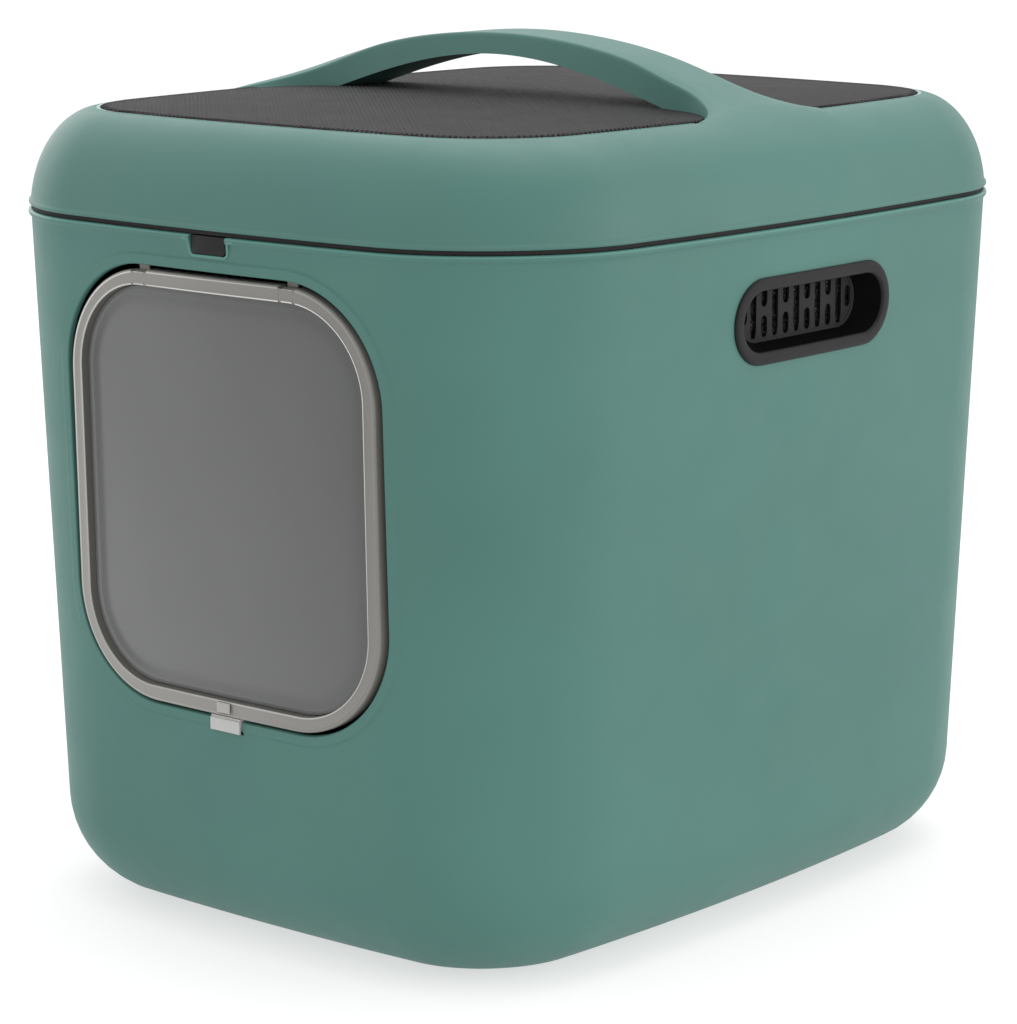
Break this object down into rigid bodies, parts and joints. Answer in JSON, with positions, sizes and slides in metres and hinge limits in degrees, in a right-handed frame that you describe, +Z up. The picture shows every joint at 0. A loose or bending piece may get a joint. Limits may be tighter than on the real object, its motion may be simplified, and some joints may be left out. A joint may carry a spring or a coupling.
{
  "type": "cat litter box with hood",
  "caption": "Tall hooded litter box: a tapering rounded tub with a swing flap and side grips, under a domed hinged lid with an arched carrying handle and a ribbed rubber top mat",
  "frame": {"origin": "centre of the box's footprint, on the floor it stands on", "axes": "+Z up, the flap faces -Y, +X is the box's side on the right when the flap is seen from the front"},
  "size_m": [0.403, 0.491, 0.4642],
  "materials": {
    "tub_plastic": "satin grey-green",
    "hood_plastic": "satin grey-green",
    "dark_plastic": "satin dark grey",
    "latch_plastic": "satin dark grey",
    "mat_rubber": "fine woven texture",
    "flap_rim_plastic": "translucent grey",
    "flap_smoked_plastic": "smoked translucent grey",
    "clear_plastic": "clear",
    "active_carbon": "black carbon granules in a pad",
    "pin_steel": "plain"
  },
  "bodies": {
    "tub": {"body_shell": "tub_plastic", "grip_cup_left": "dark_plastic", "grip_cup_right": "dark_plastic", "flap_hinge_bracket_left": "flap_rim_plastic", "flap_hinge_bracket_right": "flap_rim_plastic", "flap_hinge_pin_left": "pin_steel", "flap_hinge_pin_right": "pin_steel", "lid_hinge_pin_left": "pin_steel", "lid_hinge_pin_right": "pin_steel"},
    "lid": {"hood_cover": "hood_plastic", "hood_liner": "dark_plastic", "top_mat": "mat_rubber"},
    "latch": {"lid_latch": "latch_plastic"},
    "flap": {"flap_frame": "flap_rim_plastic", "flap_panel": "flap_smoked_plastic"},
    "lock": {"flap_lock": "clear_plastic"},
    "filter_drawer_left": {"filter_cover_left": "dark_plastic", "carbon_filter_left": "active_carbon"},
    "filter_drawer_right": {"filter_cover_right": "dark_plastic", "carbon_filter_right": "active_carbon"}
  },
  "joints": [
    {"name": "lid_hinge", "type": "hinge", "parent": "tub", "child": "lid", "pos_m": [0, 0.245, 0.3764], "axis": [-1, 0, 0], "range_deg": [0, 95]},
    {"name": "lid_latch_flex", "type": "hinge", "parent": "lid", "child": "latch", "pos_m": [0, -0.2404, 0.3742], "axis": [-1, 0, 0], "range_deg": [0, 12], "stiffness_Nm_per_rad": 0.3},
    {"name": "flap_swing", "type": "hinge", "parent": "tub", "child": "flap", "pos_m": [0, -0.236, 0.3505], "axis": [1, 0, 0], "range_deg": [-65, 65]},
    {"name": "flap_lock_slide", "type": "slide", "parent": "flap", "child": "lock", "axis": [0, 0, -1], "range_m": [0, 0.003]},
    {"name": "filter_cover_left_pull", "type": "slide", "parent": "tub", "child": "filter_drawer_left", "axis": [1, 0, 0], "range_m": [0, 0.03]},
    {"name": "filter_cover_right_pull", "type": "slide", "parent": "tub", "child": "filter_drawer_right", "axis": [-1, 0, 0], "range_m": [0, 0.03]}
  ]
}
